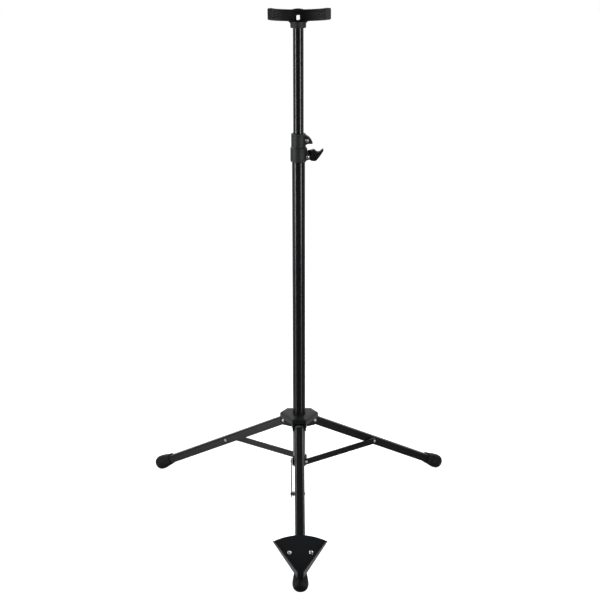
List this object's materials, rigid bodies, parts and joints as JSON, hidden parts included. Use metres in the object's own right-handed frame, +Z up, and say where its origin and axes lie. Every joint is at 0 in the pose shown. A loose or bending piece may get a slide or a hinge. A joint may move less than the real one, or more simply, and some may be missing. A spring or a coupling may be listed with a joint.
{
  "type": "wind instrument floor stand",
  "caption": "Black folding floor stand for a tall wind instrument: crescent yoke on a telescopic mast, squeeze clutch, tripod of channel legs and an instrument tray on the front leg.",
  "frame": {"origin": "on the floor, at the middle of the footprint's bounding box; the mast's axis stands at y = +0.08595", "axes": "+Z up along the mast, -Y towards the front leg that carries the tray, +X to the right as seen from the front"},
  "size_m": [0.6266, 0.5464, 0.9944],
  "materials": {
    "mast_paint": "gloss black powder coat",
    "leg_paint": "satin black powder coat",
    "moulded_plastic": "fine moulded texture",
    "lever_plastic": "satin, ribbed grip",
    "tray_plastic": "matte black",
    "bush_nylon": "matte",
    "rubber": "matte",
    "zinc_steel": "zinc plated"
  },
  "bodies": {
    "mast": {"lower_tube": "mast_paint", "tube_end_cap": "moulded_plastic", "mast_top_bush": "bush_nylon", "clutch_body": "moulded_plastic", "horn_screw": "zinc_steel", "horn_nut": "zinc_steel", "lever_pivot_screw": "zinc_steel", "lever_pivot_nut": "zinc_steel", "lower_collar": "moulded_plastic"},
    "inner_slider": {"guide_bush": "bush_nylon"},
    "upper_mast": {"upper_tube": "mast_paint", "yoke": "moulded_plastic", "yoke_pad": "rubber", "yoke_screw": "zinc_steel"},
    "lever": {"clutch_lever": "lever_plastic"},
    "hub_slider": {"hub": "moulded_plastic", "hub_rivet_front": "zinc_steel", "hub_rivet_right": "zinc_steel", "hub_rivet_left": "zinc_steel"},
    "hub_lock": {"hub_lock_stud": "zinc_steel", "hub_lock_knob": "lever_plastic"},
    "front_leg": {"leg_front": "leg_paint", "boot_front": "rubber", "brace_spacer_front": "zinc_steel", "brace_rivet_front": "zinc_steel", "instrument_tray": "tray_plastic", "tray_mount": "tray_plastic", "tray_mount_pin": "zinc_steel", "tray_screw_left": "zinc_steel", "tray_screw_right": "zinc_steel"},
    "front_brace": {"brace_front": "leg_paint", "collar_rivet_front": "zinc_steel"},
    "right_leg": {"leg_right": "leg_paint", "boot_right": "rubber", "brace_spacer_right": "zinc_steel", "brace_rivet_right": "zinc_steel"},
    "right_brace": {"brace_right": "leg_paint", "collar_rivet_right": "zinc_steel"},
    "left_leg": {"leg_left": "leg_paint", "boot_left": "rubber", "brace_spacer_left": "zinc_steel", "brace_rivet_left": "zinc_steel"},
    "left_brace": {"brace_left": "leg_paint", "collar_rivet_left": "zinc_steel"}
  },
  "joints": [
    {"name": "height_slide", "type": "slide", "parent": "mast", "child": "inner_slider", "axis": [0, 0, 1], "range_m": [-0.185, 0.185]},
    {"name": "yoke_swivel", "type": "hinge", "parent": "inner_slider", "child": "upper_mast", "pos_m": [0, 0.08595, 0.49], "axis": [0, 0, 1], "continuous": true},
    {"name": "clutch_squeeze", "type": "hinge", "parent": "mast", "child": "lever", "pos_m": [0.0169, 0.08595, 0.7198], "axis": [0, -1, 0], "range_deg": [0, 25], "stiffness_Nm_per_rad": 0.05},
    {"name": "hub_slide", "type": "slide", "parent": "mast", "child": "hub_slider", "axis": [0, 0, 1], "range_m": [0, 0.2396]},
    {"name": "hub_lock_turn", "type": "hinge", "parent": "hub_slider", "child": "hub_lock", "pos_m": [0, 0.11945, 0.18311], "axis": [0, 1, 0], "continuous": true},
    {"name": "front_leg_fold", "type": "hinge", "parent": "hub_slider", "child": "front_leg", "pos_m": [0, 0.05695, 0.18211], "axis": [1, 0, 0], "range_deg": [0, 60]},
    {"name": "front_brace_fold", "type": "hinge", "parent": "front_leg", "child": "front_brace", "pos_m": [-0.0154, -0.08597, 0.10583], "axis": [1, 0, 0], "range_deg": [-137.4, 0]},
    {"name": "right_leg_fold", "type": "hinge", "parent": "hub_slider", "child": "right_leg", "pos_m": [0.02511, 0.10045, 0.18211], "axis": [-0.5, 0.866, 0], "range_deg": [0, 60]},
    {"name": "right_brace_fold", "type": "hinge", "parent": "right_leg", "child": "right_brace", "pos_m": [0.15659, 0.15857, 0.10583], "axis": [-0.5, 0.866, 0], "range_deg": [-137.4, 0]},
    {"name": "left_leg_fold", "type": "hinge", "parent": "hub_slider", "child": "left_leg", "pos_m": [-0.02511, 0.10045, 0.18211], "axis": [-0.5, -0.866, 0], "range_deg": [0, 60]},
    {"name": "left_brace_fold", "type": "hinge", "parent": "left_leg", "child": "left_brace", "pos_m": [-0.14119, 0.18525, 0.10583], "axis": [-0.5, -0.866, 0], "range_deg": [-137.4, 0]}
  ],
  "couplings": [
    {"joint": "front_leg_fold", "follows": "hub_slide", "rad_per_m": 4.3641},
    {"joint": "front_brace_fold", "follows": "hub_slide", "rad_per_m": -9.9946},
    {"joint": "right_leg_fold", "follows": "hub_slide", "rad_per_m": 4.3641},
    {"joint": "right_brace_fold", "follows": "hub_slide", "rad_per_m": -9.9946},
    {"joint": "left_leg_fold", "follows": "hub_slide", "rad_per_m": 4.3641},
    {"joint": "left_brace_fold", "follows": "hub_slide", "rad_per_m": -9.9946}
  ]
}
